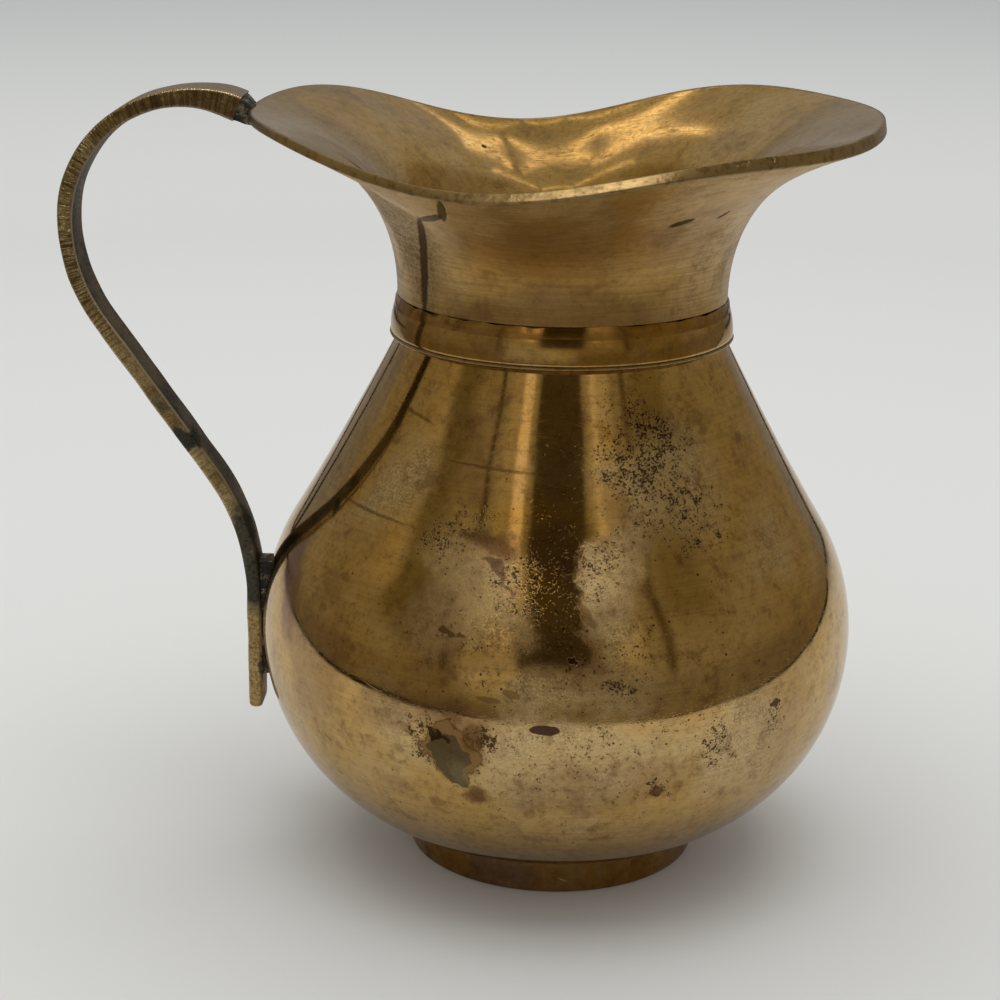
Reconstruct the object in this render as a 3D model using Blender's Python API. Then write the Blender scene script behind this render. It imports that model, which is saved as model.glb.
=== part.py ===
"""Brass creamer: a pear-shaped jug with a pinched saddle mouth and a flat bar handle.

The jug is five brass pieces brazed together. A cast and turned belly stands on a
foot ring and carries a flared throat; a collar hides the joint between the two.
A flat bar, bent to an S, is brazed to the back of the lip and to the belly.

Lengths are written in millimetres and become metres where the meshes are made.
The jug stands on z = 0, the spout points along +X and the handle along -X.
The origin is the middle of the underside of its bounding box.
"""

import math

import bmesh
import bpy
from mathutils import Matrix, Vector

MILLIMETRE = 0.001

# Metal thickness and the clearance left in every brazed joint
WALL = 2.0
JOINT = 0.3

# Belly: a round bowl, slightly tighter below its widest line than above it, then a
# shoulder drawn in on a long hollow arc
BELLY_RADIUS = 44.0
BELLY_WIDEST_Z = 34.8
LOWER_ARC = 31.0
UPPER_ARC = 32.4
SHOULDER_ARC = 400.0

# Foot ring under the bowl
FOOT_RADIUS = 21.7
FOOT_FLARE = 0.25
FOOT_WIDTH = 2.4
FOOT_BEVEL = 0.4

# Neck: the bore, the turned seat for the collar, and the collar itself
NECK_RADIUS = 23.9
SEAT_DEPTH = 0.7
BAND_Z = 79.3
BAND_HEIGHT = 4.1
BAND_PROUD = 1.0
BAND_TAPER = 0.5
BAND_BEAD = 0.5
BEAD_PROUD = 0.1
SPIGOT_HEIGHT = 2.0
NECK_BRAZE_HEIGHT = 1.2

# Mouth: a trumpet cut off round, its rim then bent by hand. The waves are how far the
# rim's inner edge lies above its mean rise over the collar, every 30 degrees from the
# spout round by the +Y side. Each flare size has one value for the ends, spout and
# handle, and one for the sides.
RIM_RADIUS = 44.7
RIM_RISE = 26.6
RIM_WAVES = (1.8, 1.9, 0.9, -4.7, -2.6, 1.9, 1.3, 0.7, -2.8, -2.8, 0.3, 0.8)
LIP_WALL_SPOUT = 1.9
LIP_WALL_BACK = 1.2
LIP_ANGLE_ENDS = math.radians(9.0)
LIP_ANGLE_SIDES = math.radians(40.0)
FLARE_RISE_ENDS = 15.5
FLARE_RISE_SIDES = 11.5
FLARE_REACH_ENDS = 10.0
FLARE_REACH_SIDES = 11.0

# Handle: a flat bar bent over the top, run down a slant and laid on the belly. It is
# placed by its root at the rim and by the belly's widest line, and the slant is the
# straight run between its bends.
HANDLE_OVERHANG = 25.2
HANDLE_CREST_RISE = 1.3
HANDLE_BEND = 18.2
HANDLE_SIDE_BEND = 25.0
HANDLE_LOWER_BEND = 34.0
HANDLE_LAID_RISE = 3.65
HANDLE_TAIL_DROP = 14.6
BAR_THICKNESS = 2.3
BAR_TAIL_THICKNESS = 2.1
BAR_ROOT_THICKNESS = 3.7
BAR_ROOT_LENGTH = 7.0
BAR_ROOT_WIDTH = 8.0
BAR_TAIL_WIDTH = 5.6
BAR_EDGE = 0.45
TAIL_ROUND = 0.9

# Brazing metal at the two ends of the handle: between root and rim, with a toe that
# runs on under the lip, and in the two wedges between bar and belly
LIP_BRAZE_THICKNESS = 0.8
LIP_BRAZE_RISE = 1.7
TOE_REACH = 2.0
TOE_THICKNESS = 0.7
BRAZE_WIDTH = 5.0
FILLET_LEAST = 0.3
FILLET_HEIGHT = 3.0
FILLET_SEARCH_STEP = 0.05

# Fineness of the facets
SEGMENTS = 64
LOWER_STEPS = 11
UPPER_STEPS = 4
SHOULDER_STEPS = 5
FLARE_STEPS = 11
BEND_STEPS = 17
SIDE_BEND_STEPS = 5
LOWER_BEND_STEPS = 8
ROUND_STEPS = 4

# Sizes that follow from the ones above
BORE_RADIUS = NECK_RADIUS - WALL
SEAT_RADIUS = NECK_RADIUS - SEAT_DEPTH
COLLAR_BORE = SEAT_RADIUS + JOINT
BAND_RADIUS = NECK_RADIUS + BAND_PROUD
BELLY_TOP_Z = BAND_Z - JOINT
SPIGOT_TOP_Z = BELLY_TOP_Z + SPIGOT_HEIGHT
THROAT_FOOT_Z = SPIGOT_TOP_Z + JOINT
BAND_TOP_Z = BAND_Z + BAND_HEIGHT
NECK_BRAZE_Z = BAND_TOP_Z + JOINT
NECK_BRAZE_TOP_Z = NECK_BRAZE_Z + NECK_BRAZE_HEIGHT
THROAT_SHOULDER_Z = NECK_BRAZE_TOP_Z + JOINT
LOWER_CENTRE = Vector((BELLY_RADIUS - LOWER_ARC, BELLY_WIDEST_Z))
UPPER_CENTRE = Vector((BELLY_RADIUS - UPPER_ARC, BELLY_WIDEST_Z))
RIM_Z = BAND_TOP_Z + RIM_RISE
TAIL_X = -(BELLY_RADIUS + JOINT + BAR_TAIL_THICKNESS / 2)
TAIL_Z = BELLY_WIDEST_Z - HANDLE_TAIL_DROP
LOWER_BEND_CENTRE = Vector((TAIL_X - HANDLE_LOWER_BEND, BELLY_WIDEST_Z + HANDLE_LAID_RISE))


def clear_scene():
    for old in list(bpy.data.objects):
        bpy.data.objects.remove(old, do_unlink=True)


def metal(name, colour, roughness):
    """A plain brass finish for the solid, with its colour in linear values."""
    material = bpy.data.materials.new(name)
    material.use_nodes = True
    shader = material.node_tree.nodes["Principled BSDF"]
    shader.inputs["Base Color"].default_value = (*colour, 1.0)
    shader.inputs["Metallic"].default_value = 1.0
    shader.inputs["Roughness"].default_value = roughness
    return material


def make_object(name, bm, material):
    """Close a millimetre bmesh, face it outwards and link it in metres."""
    bmesh.ops.remove_doubles(bm, verts=bm.verts, dist=0.0005)
    bmesh.ops.recalc_face_normals(bm, faces=bm.faces)
    bmesh.ops.scale(bm, vec=(MILLIMETRE,) * 3, verts=bm.verts)
    mesh = bpy.data.meshes.new(name)
    bm.to_mesh(mesh)
    bm.free()
    mesh.shade_smooth()
    mesh.set_sharp_from_angle(angle=math.radians(35))
    mesh.materials.append(material)
    piece = bpy.data.objects.new(name, mesh)
    bpy.context.scene.collection.objects.link(piece)
    return piece


def arc(centre, radius, start, end, steps):
    """Points of an arc from one angle to another, both ends included."""
    angles = (start + (end - start) * i / steps for i in range(steps + 1))
    return [centre + radius * Vector((math.cos(a), math.sin(a))) for a in angles]


def turned(bm, profile, closed):
    """Spin an outline of (radius, height) points round the jug's axis."""
    verts = [bm.verts.new((p[0], 0.0, p[1])) for p in profile]
    pairs = list(zip(verts, verts[1:]))
    if closed:
        pairs.append((verts[-1], verts[0]))
    edges = [bm.edges.new(pair) for pair in pairs]
    bmesh.ops.spin(
        bm,
        geom=verts + edges,
        cent=(0.0, 0.0, 0.0),
        axis=(0.0, 0.0, 1.0),
        angle=math.tau,
        steps=SEGMENTS,
        use_merge=True,
    )


def ring(bm, points):
    """One closed loop of edges; returns the edges."""
    verts = [bm.verts.new(p) for p in points]
    return [bm.edges.new((a, b)) for a, b in zip(verts, verts[1:] + verts[:1])]


def lofted(bm, rings, closed):
    """Skin a row of equal loops; closed joins the last loop to the first."""
    loops = [ring(bm, points) for points in rings]
    pairs = list(zip(loops, loops[1:]))
    if closed:
        pairs.append((loops[-1], loops[0]))
    for first, second in pairs:
        bmesh.ops.bridge_loops(bm, edges=first + second)
    if not closed:
        for loop in (loops[0], loops[-1]):
            bmesh.ops.contextual_create(bm, geom=loop)


def extruded(bm, outline, width):
    """A prism across the XZ plane, from an outline of (x, z) points."""
    verts = [bm.verts.new((p[0], -width / 2, p[1])) for p in outline]
    face = bm.faces.new(verts)
    grown = bmesh.ops.extrude_face_region(bm, geom=[face])
    moved = [item for item in grown["geom"] if isinstance(item, bmesh.types.BMVert)]
    bmesh.ops.translate(bm, vec=(0.0, width, 0.0), verts=moved)


def bowl_radius(z, grow):
    """Radius of the bowl at a height, on a surface offset outwards by grow."""
    lower = z < BELLY_WIDEST_Z
    centre = LOWER_CENTRE if lower else UPPER_CENTRE
    radius = (LOWER_ARC if lower else UPPER_ARC) + grow
    return centre[0] + math.sqrt(radius ** 2 - (z - centre[1]) ** 2)


def shoulder_centre():
    """Centre of the hollow arc that leaves the bowl smoothly and ends at the neck."""
    neck = Vector((NECK_RADIUS, BELLY_TOP_Z)) - UPPER_CENTRE
    reach = UPPER_ARC + SHOULDER_ARC
    along = (reach ** 2 - SHOULDER_ARC ** 2 + neck.length_squared) / (2 * neck.length)
    across = math.sqrt(reach ** 2 - along ** 2)
    heading = neck.normalized()
    return UPPER_CENTRE + along * heading + across * Vector((heading[1], -heading[0]))


def belly_side(offset, end_angle_of):
    """Bowl and shoulder of the belly, from the edge of the flat base upwards."""
    hollow = shoulder_centre()
    lean = hollow - UPPER_CENTRE
    turn = math.atan2(lean[1], lean[0])
    radius = SHOULDER_ARC + offset
    end = end_angle_of(hollow, radius)
    lower = arc(LOWER_CENTRE, LOWER_ARC - offset, -math.pi / 2, 0.0, LOWER_STEPS)
    upper = arc(UPPER_CENTRE, UPPER_ARC - offset, 0.0, turn, UPPER_STEPS)
    shoulder = arc(hollow, -radius, turn, end, SHOULDER_STEPS)
    return lower + upper[1:] + shoulder[1:]


def make_belly(material):
    """The belly: one casting, turned outside, with a spigot inside the collar."""
    outer = belly_side(0.0, lambda c, r: math.asin((c[1] - BELLY_TOP_Z) / r))
    inner = belly_side(WALL, lambda c, r: math.acos((c[0] - BORE_RADIUS) / r))
    spigot = [
        Vector((SEAT_RADIUS, BELLY_TOP_Z)),
        Vector((SEAT_RADIUS, SPIGOT_TOP_Z)),
        Vector((BORE_RADIUS, SPIGOT_TOP_Z)),
    ]
    base = [Vector((0.0, outer[0][1]))]
    floor = [Vector((0.0, inner[0][1]))]
    bm = bmesh.new()
    turned(bm, base + outer + spigot + inner[::-1] + floor, closed=False)
    return make_object("belly", bm, material)


def make_foot_ring(material):
    """The foot ring: its top is turned to the bowl that sits on it."""
    inner_radius = FOOT_RADIUS - FOOT_WIDTH
    top_radius = FOOT_RADIUS + FOOT_FLARE
    seat = []
    for i in range(ROUND_STEPS + 1):
        r = top_radius + (inner_radius - top_radius) * i / ROUND_STEPS
        drop = math.sqrt((LOWER_ARC + JOINT) ** 2 - (r - LOWER_CENTRE[0]) ** 2)
        seat.append(Vector((r, BELLY_WIDEST_Z - drop)))
    sole = [
        Vector((inner_radius, FOOT_BEVEL)),
        Vector((inner_radius + FOOT_BEVEL, 0.0)),
        Vector((FOOT_RADIUS - FOOT_BEVEL, 0.0)),
        Vector((FOOT_RADIUS, FOOT_BEVEL)),
    ]
    bm = bmesh.new()
    turned(bm, seat + sole, closed=True)
    return make_object("foot_ring", bm, material)


def make_neck_band(material):
    """The collar: a crowned face over a fine bead, tapered towards the throat."""
    bead = arc(
        Vector((BAND_RADIUS + BEAD_PROUD - BAND_BEAD / 2, BAND_Z + BAND_BEAD / 2)),
        BAND_BEAD / 2,
        -math.pi / 2,
        math.pi / 2,
        ROUND_STEPS,
    )
    face_z = BAND_Z + BAND_BEAD
    height = BAND_TOP_Z - face_z
    face = []
    for i in range(1, ROUND_STEPS + 1):
        t = i / ROUND_STEPS
        face.append(Vector((BAND_RADIUS - BAND_TAPER * t * t, face_z + height * t)))
    bore = [Vector((COLLAR_BORE, BAND_TOP_Z)), Vector((COLLAR_BORE, BAND_Z))]
    bm = bmesh.new()
    turned(bm, bead + face + bore, closed=True)
    return make_object("neck_band", bm, material)


def make_neck_braze(material):
    """The run of brazing metal on top of the collar, dressed to a slope."""
    outline = [
        Vector((COLLAR_BORE, NECK_BRAZE_Z)),
        Vector((BAND_RADIUS - BAND_TAPER, NECK_BRAZE_Z)),
        Vector((NECK_RADIUS + JOINT / 2, NECK_BRAZE_TOP_Z)),
        Vector((COLLAR_BORE, NECK_BRAZE_TOP_Z)),
    ]
    bm = bmesh.new()
    turned(bm, outline, closed=True)
    return make_object("neck_braze", bm, material)


def rim_height(angle):
    """Height of the rim's inner edge: the smooth wave through the given points."""
    count = len(RIM_WAVES)
    height = RIM_Z + sum(RIM_WAVES) / count
    for k in range(1, count // 2 + 1):
        share = (1.0 if 2 * k == count else 2.0) / count
        for i, station in enumerate(RIM_WAVES):
            turn = math.tau * i / count
            height += share * station * math.cos(k * (angle - turn))
    return height


def between_sides_and_ends(angle, sides, ends):
    """A value that swings from the sides of the mouth to its spout and back."""
    return sides + (ends - sides) * (0.5 + 0.5 * math.cos(2 * angle))


def lip_wall(angle):
    """Thickness of the rim, full at the spout and thinned towards the handle."""
    return LIP_WALL_BACK + (LIP_WALL_SPOUT - LIP_WALL_BACK) * (0.5 + 0.5 * math.cos(angle))


def flare(angle):
    """Outer and inner outline of the throat in one direction from the axis."""
    lip = between_sides_and_ends(angle, LIP_ANGLE_SIDES, LIP_ANGLE_ENDS)
    rise = between_sides_and_ends(angle, FLARE_RISE_SIDES, FLARE_RISE_ENDS)
    reach = between_sides_and_ends(angle, FLARE_REACH_SIDES, FLARE_REACH_ENDS)
    along = Vector((math.cos(lip), math.sin(lip)))
    inner_edge = Vector((RIM_RADIUS, rim_height(angle)))
    edge = inner_edge + lip_wall(angle) * Vector((along[1], -along[0]))
    start = Vector((NECK_RADIUS, THROAT_SHOULDER_Z))
    handles = (start, start + Vector((0.0, rise)), edge - reach * along, edge)
    outer = []
    inner = []
    for i in range(FLARE_STEPS + 1):
        t = i / FLARE_STEPS
        weights = ((1 - t) ** 3, 3 * t * (1 - t) ** 2, 3 * t * t * (1 - t), t ** 3)
        point = sum((w * h for w, h in zip(weights, handles)), Vector((0.0, 0.0)))
        slopes = (-((1 - t) ** 2), (1 - t) * (1 - 3 * t), t * (2 - 3 * t), t * t)
        heading = sum((w * h for w, h in zip(slopes, handles)), Vector((0.0, 0.0)))
        heading.normalize()
        outer.append(point)
        wall = WALL + (lip_wall(angle) - WALL) * t
        inner.append(point + wall * Vector((-heading[1], heading[0])))
    return outer, inner


def make_throat(material):
    """The throat and mouth: one casting, round at the collar, a saddle at the rim."""
    seat = [
        Vector((SEAT_RADIUS, THROAT_FOOT_Z)),
        Vector((SEAT_RADIUS, THROAT_SHOULDER_Z)),
    ]
    foot = [Vector((BORE_RADIUS, THROAT_FOOT_Z))]
    outlines = []
    for i in range(SEGMENTS):
        angle = math.tau * i / SEGMENTS
        outer, inner = flare(angle)
        outlines.append((angle, seat + outer + inner[::-1] + foot))
    rings = []
    for step in range(len(outlines[0][1])):
        loop = []
        for angle, outline in outlines:
            r, z = outline[step]
            loop.append((r * math.cos(angle), r * math.sin(angle), z))
        rings.append(loop)
    bm = bmesh.new()
    lofted(bm, rings, closed=True)
    return make_object("throat", bm, material)


def lip_back():
    """Outer edge of the rim where the handle meets it, as a place in XZ."""
    edge = flare(math.pi)[0][-1]
    return Vector((-edge[0], edge[1]))


def root_x():
    """Where the handle's root is cut, just short of its brazed joint."""
    return lip_back()[0] - LIP_BRAZE_THICKNESS - 2 * JOINT


def bend_centre(radius):
    """Centre of a bend that starts at the handle's farthest reach from the jug."""
    crest_z = rim_height(math.pi) + HANDLE_CREST_RISE
    return Vector((root_x() - HANDLE_OVERHANG + radius, crest_z - HANDLE_BEND))


def slant_angle(side):
    """How far the straight run leans, tangent to the side bend and the lower one."""
    between = LOWER_BEND_CENTRE - side
    heading = math.atan2(between[1], between[0])
    return heading + math.acos(-(HANDLE_SIDE_BEND + HANDLE_LOWER_BEND) / between.length)


def handle_path():
    """Centre line of the bar: each point, the direction that faces outwards from it
    there, and how far the rounded tail draws the section in."""
    top = bend_centre(HANDLE_BEND)
    side = bend_centre(HANDLE_SIDE_BEND)
    slant = slant_angle(side)
    root_angle = math.acos((root_x() - top[0]) / HANDLE_BEND)
    path = []
    for i in range(BEND_STEPS + 1):
        a = root_angle + (math.pi - root_angle) * i / BEND_STEPS
        out = Vector((math.cos(a), math.sin(a)))
        path.append((top + HANDLE_BEND * out, out, 0.0))
    for i in range(1, SIDE_BEND_STEPS + 1):
        a = math.pi + slant * i / SIDE_BEND_STEPS
        out = Vector((math.cos(a), math.sin(a)))
        path.append((side + HANDLE_SIDE_BEND * out, out, 0.0))
    for i in range(LOWER_BEND_STEPS + 1):
        a = slant * (1 - i / LOWER_BEND_STEPS)
        out = Vector((-math.cos(a), -math.sin(a)))
        path.append((LOWER_BEND_CENTRE - HANDLE_LOWER_BEND * out, out, 0.0))
    left = Vector((-1.0, 0.0))
    middle_z = (LOWER_BEND_CENTRE[1] + TAIL_Z) / 2
    path.append((Vector((TAIL_X, middle_z)), left, 0.0))
    for i in range(ROUND_STEPS + 1):
        turn = math.pi / 2 * i / ROUND_STEPS
        z = TAIL_Z + TAIL_ROUND * (1 - math.sin(turn))
        path.append((Vector((TAIL_X, z)), left, TAIL_ROUND * (1 - math.cos(turn))))
    return path


def bar_section(centre, out, thickness, width):
    """Flat bar section with eased edges, square to the path."""
    half_t = thickness / 2
    half_w = width / 2
    edge = min(BAR_EDGE, 0.9 * half_t)
    corners = ((1, 1), (-1, 1), (-1, -1), (1, -1))
    points = []
    for along, across in corners:
        turns = (0, 1, 2) if along == across else (2, 1, 0)
        for turn in turns:
            a = math.pi / 4 * turn
            u = along * (half_t - edge + edge * math.cos(a))
            v = across * (half_w - edge + edge * math.sin(a))
            points.append((centre[0] + out[0] * u, v, centre[1] + out[1] * u))
    return points


def make_handle(material):
    """The handle: flat bar, swelled at its root, tapered and rounded at its tail."""
    path = handle_path()
    lengths = [0.0]
    for before, after in zip(path, path[1:]):
        lengths.append(lengths[-1] + (after[0] - before[0]).length)
    rings = []
    for (centre, out, inset), length in zip(path, lengths):
        share = length / lengths[-1]
        plain = BAR_THICKNESS + (BAR_TAIL_THICKNESS - BAR_THICKNESS) * share
        swell = (BAR_ROOT_THICKNESS - BAR_THICKNESS) * math.exp(-(length / BAR_ROOT_LENGTH) ** 2)
        width = BAR_ROOT_WIDTH + (BAR_TAIL_WIDTH - BAR_ROOT_WIDTH) * share
        rings.append(bar_section(centre, out, plain + swell - 2 * inset, width - 2 * inset))
    heading = Vector((path[0][1][1], -path[0][1][0]))
    cut = root_x()
    square = []
    for x, y, z in rings[0]:
        step = (cut - x) / heading[0]
        square.append((cut, y, z + step * heading[1]))
    rings[0] = square
    bm = bmesh.new()
    lofted(bm, rings, closed=False)
    return make_object("handle", bm, material)


def make_lip_braze(material):
    """Brazing metal between the bar's root and the back of the lip."""
    edge = lip_back()
    face_x = edge[0] - JOINT
    back_x = face_x - LIP_BRAZE_THICKNESS
    slope = math.tan(LIP_ANGLE_ENDS)
    rim_z = edge[1] + LIP_WALL_BACK * math.cos(LIP_ANGLE_ENDS)
    under = Vector((face_x, edge[1] - JOINT / math.cos(LIP_ANGLE_ENDS)))
    tip = under + TOE_REACH * Vector((1.0, -slope))
    outline = [
        Vector((back_x, rim_z + LIP_BRAZE_RISE)),
        Vector((face_x, rim_z)),
        under,
        tip,
        Vector((face_x, tip[1] - TOE_THICKNESS)),
        Vector((back_x, tip[1] - TOE_THICKNESS)),
    ]
    bm = bmesh.new()
    extruded(bm, outline, BAR_ROOT_WIDTH - 2 * BAR_EDGE)
    return make_object("lip_braze", bm, material)


def bar_inner_x(z):
    """Face of the bar towards the belly, at a height beside the belly."""
    half = BAR_TAIL_THICKNESS / 2
    centre_x, laid_z = LOWER_BEND_CENTRE
    if z <= laid_z:
        return TAIL_X + half
    return centre_x + math.sqrt((HANDLE_LOWER_BEND + half) ** 2 - (z - laid_z) ** 2)


def fillet_room(z):
    """Width left between belly and bar for brazing metal, at a height."""
    return -bar_inner_x(z) - bowl_radius(z, 0.0) - 2 * JOINT


def make_belly_braze(name, direction, material):
    """A wedge of brazing metal where the bar leaves the belly, up or down."""
    start = BELLY_WIDEST_Z
    while fillet_room(start) < FILLET_LEAST:
        start += direction * FILLET_SEARCH_STEP
    heights = [start + direction * FILLET_HEIGHT * i / ROUND_STEPS for i in range(ROUND_STEPS + 1)]
    belly_face = [Vector((-bowl_radius(z, JOINT), z)) for z in heights]
    bar_face = [Vector((bar_inner_x(z) + JOINT, z)) for z in heights]
    bm = bmesh.new()
    extruded(bm, belly_face + bar_face[::-1], BRAZE_WIDTH)
    return make_object(name, bm, material)


def centre_on_footprint(pieces):
    """Shift every mesh so that the box of the whole jug is centred on the origin."""
    xs = [vert.co.x for piece in pieces for vert in piece.data.vertices]
    ys = [vert.co.y for piece in pieces for vert in piece.data.vertices]
    shift = Vector((-(min(xs) + max(xs)) / 2, -(min(ys) + max(ys)) / 2, 0.0))
    for piece in pieces:
        piece.data.transform(Matrix.Translation(shift))


clear_scene()
polished = metal("polished brass", (0.45, 0.30, 0.12), 0.22)
worn = metal("worn brass", (0.36, 0.24, 0.10), 0.35)
patina = metal("brass with dark patina", (0.16, 0.11, 0.05), 0.45)
braze = metal("grey brazing metal", (0.22, 0.19, 0.14), 0.45)

centre_on_footprint([
    make_belly(polished),
    make_foot_ring(worn),
    make_neck_band(polished),
    make_neck_braze(worn),
    make_throat(polished),
    make_handle(patina),
    make_lip_braze(braze),
    make_belly_braze("belly_braze_upper", 1, braze),
    make_belly_braze("belly_braze_lower", -1, braze),
])
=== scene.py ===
"""Looks of an old brass creamer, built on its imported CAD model.

The jug is a turned belly on a foot ring, a flared throat over a collar, and a flat
bar handle brazed on. Sizes are in millimetres from the middle of the foot's sole,
and become metres in the model's frame when a mesh is placed there.
"""

import math

import bmesh
import bpy
from mathutils import Matrix, Vector, noise


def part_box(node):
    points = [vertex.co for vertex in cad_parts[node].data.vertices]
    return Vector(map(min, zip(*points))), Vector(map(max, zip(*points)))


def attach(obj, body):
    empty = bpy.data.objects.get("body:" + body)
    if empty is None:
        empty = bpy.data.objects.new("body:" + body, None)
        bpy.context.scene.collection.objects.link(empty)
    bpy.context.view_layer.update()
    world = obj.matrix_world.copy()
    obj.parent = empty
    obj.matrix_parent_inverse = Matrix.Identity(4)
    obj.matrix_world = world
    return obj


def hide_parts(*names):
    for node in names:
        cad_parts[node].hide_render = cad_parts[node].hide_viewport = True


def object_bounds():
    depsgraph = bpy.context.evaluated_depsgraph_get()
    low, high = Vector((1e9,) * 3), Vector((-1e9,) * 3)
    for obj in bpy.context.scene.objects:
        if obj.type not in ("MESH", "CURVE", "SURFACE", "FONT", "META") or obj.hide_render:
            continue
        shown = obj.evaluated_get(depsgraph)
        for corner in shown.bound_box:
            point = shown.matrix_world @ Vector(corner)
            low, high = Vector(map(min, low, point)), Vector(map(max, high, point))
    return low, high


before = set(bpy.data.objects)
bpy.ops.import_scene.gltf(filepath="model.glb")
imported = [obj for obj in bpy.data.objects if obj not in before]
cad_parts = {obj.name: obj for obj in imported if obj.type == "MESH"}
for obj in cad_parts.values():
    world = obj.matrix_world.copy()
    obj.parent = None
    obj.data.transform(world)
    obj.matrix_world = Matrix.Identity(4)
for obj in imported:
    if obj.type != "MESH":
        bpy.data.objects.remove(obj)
cad_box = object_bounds()

# Camera
# A telephone camera held a little above the jug, about a third of a metre away.
# The jug's own axis runs through the middle of the foot ring.

foot_low, foot_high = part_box("foot_ring")
AXIS_X = (foot_low.x + foot_high.x) / 2
CAMERA_DISTANCE = 321.41
CAMERA_HEIGHT = 150.26
CAMERA_PITCH = math.radians(16.754)
CAMERA_YAW = math.radians(-1.533)
CAMERA_ROLL = math.radians(0.818)

camera_data = bpy.data.cameras.new("camera")
camera_data.lens = 81.0
camera_data.sensor_width = 36.0
camera_data.clip_start = 0.01
camera = bpy.data.objects.new("camera", camera_data)
bpy.context.scene.collection.objects.link(camera)
camera.matrix_world = (
    Matrix.Translation((AXIS_X, -CAMERA_DISTANCE / 1000, CAMERA_HEIGHT / 1000))
    @ Matrix.Rotation(-CAMERA_YAW, 4, "Z")
    @ Matrix.Rotation(math.pi / 2 - CAMERA_PITCH, 4, "X")
    @ Matrix.Rotation(CAMERA_ROLL, 4, "Z")
)
bpy.context.scene.camera = camera
bpy.context.scene.view_settings.view_transform = "Standard"

# Floor sweep
# A sheet of pale matt card under the jug, curved up all round it to a plain wall that
# is painted darker upwards as shade.
# Only the camera sees this one; it catches the jug's soft shadow.


def linear(code):
    """A colour written as six sRGB hex digits, in linear values."""
    shares = [int(code[i:i + 2], 16) / 255 for i in (0, 2, 4)]
    return [s / 12.92 if s <= 0.04045 else ((s + 0.055) / 1.055) ** 2.4 for s in shares]


def fill(node, inputs):
    """Sets inputs of a node, each to a value or to another node's socket."""
    for key, value in inputs.items():
        socket = node.inputs[key]
        if isinstance(value, bpy.types.NodeSocket):
            node.id_data.links.new(value, socket)
        elif hasattr(socket.default_value, "__len__") and len(value) == 3:
            socket.default_value = (*value, 1.0)[:len(socket.default_value)]
        else:
            socket.default_value = value


def add(tree, kind, inputs, **settings):
    """Adds a shader node with its inputs filled and its settings made."""
    node = tree.nodes.new("ShaderNode" + kind)
    for name, value in settings.items():
        setattr(node, name, value)
    fill(node, inputs)
    return node


# These work in the tree of the sockets that they are given.


def work_out(operation, *values):
    """One step of arithmetic on sockets and numbers."""
    tree = next(v.id_data for v in values if isinstance(v, bpy.types.NodeSocket))
    return add(tree, "Math", dict(enumerate(values)), operation=operation).outputs[0]


def product(first, second):
    """One value times another."""
    return work_out("MULTIPLY", first, second)


def raised(value, share, amount):
    """A value with an amount of a share added to it."""
    return work_out("MULTIPLY_ADD", share, amount, value)


def ramp(value, start, end, low=0.0, high=1.0):
    """Takes a value from low to high as it goes from start to end."""
    inputs = {0: value, 1: start, 2: end, 3: low, 4: high}
    return add(value.id_data, "MapRange", inputs, interpolation_type="SMOOTHSTEP").outputs[0]


def blend(share, under, over, amount=None):
    """Mixes two colours, each a socket, linear values or a hex code, by an amount of a share."""
    if amount is not None:
        share = product(share, amount)
    pair = [linear(c) if isinstance(c, str) else c for c in (under, over)]
    inputs = {0: share, 6: pair[0], 7: pair[1]}
    return add(share.id_data, "Mix", inputs, data_type="RGBA").outputs[2]


def new_material(name):
    """An empty material with its Principled shader; returns material, tree and shader."""
    material = bpy.data.materials.new(name)
    material.use_nodes = True
    tree = material.node_tree
    return material, tree, tree.nodes["Principled BSDF"]


def place_mesh(name, bm, material):
    """Makes an object in the frame out of a millimetre mesh round the jug's axis."""
    bmesh.ops.scale(bm, vec=(0.001, 0.001, 0.001), verts=bm.verts)
    bmesh.ops.translate(bm, vec=(AXIS_X, 0.0, 0.0), verts=bm.verts)
    mesh = bpy.data.meshes.new(name)
    bm.to_mesh(mesh)
    bm.free()
    mesh.shade_smooth()
    mesh.materials.append(material)
    piece = bpy.data.objects.new(name, mesh)
    bpy.context.scene.collection.objects.link(piece)
    return piece


def face_outwards(bm):
    """Turns the faces of a mesh to its outside."""
    bmesh.ops.recalc_face_normals(bm, faces=bm.faces)


def quarter(steps):
    """Angles from nothing to a quarter turn, both included."""
    return [math.pi / 2 * i / steps for i in range(steps + 1)]


# how close two points of a mesh have to be, in millimetres, to become one
MERGE_DISTANCE = 0.0004


def spin_round(bm, profile, steps, closed=False):
    """Turns an outline of (radius, height) points round the jug's axis."""
    verts = [bm.verts.new((r, 0.0, z)) for r, z in profile]
    edges = [bm.edges.new(pair) for pair in zip(verts, verts[1:])]
    if closed:
        edges.append(bm.edges.new((verts[-1], verts[0])))
    bmesh.ops.spin(
        bm,
        geom=verts + edges,
        cent=(0.0, 0.0, 0.0),
        axis=(0.0, 0.0, 1.0),
        angle=math.tau,
        steps=steps,
        use_merge=True,
    )
    bmesh.ops.remove_doubles(bm, verts=bm.verts, dist=MERGE_DISTANCE)


CARD_COLOUR = "DADBD9"
CARD_WALL_SHADE_COLOUR = "989EA2"
# the height in metres over which the card turns from its floor tone to the darker wall
# tone, which is painted shade
CARD_TONE_HEIGHT = 0.16
SWEEP_RADIUS = 530.0
SWEEP_BEND = 260.0
SWEEP_HEIGHT = 700.0

card, tree, shader = new_material("matt white card")
upward = add(tree, "SeparateXYZ", {0: add(tree, "TexCoord", {}).outputs["Object"]}).outputs["Z"]
# painted shade: the card's colour darkens as it rises into the wall
painted_wall_shade = ramp(upward, 0.0, CARD_TONE_HEIGHT)
colour = blend(painted_wall_shade, CARD_COLOUR, CARD_WALL_SHADE_COLOUR)
fill(shader, {"Base Color": colour, "Roughness": 0.9, "Specular IOR Level": 0.15})

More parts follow.
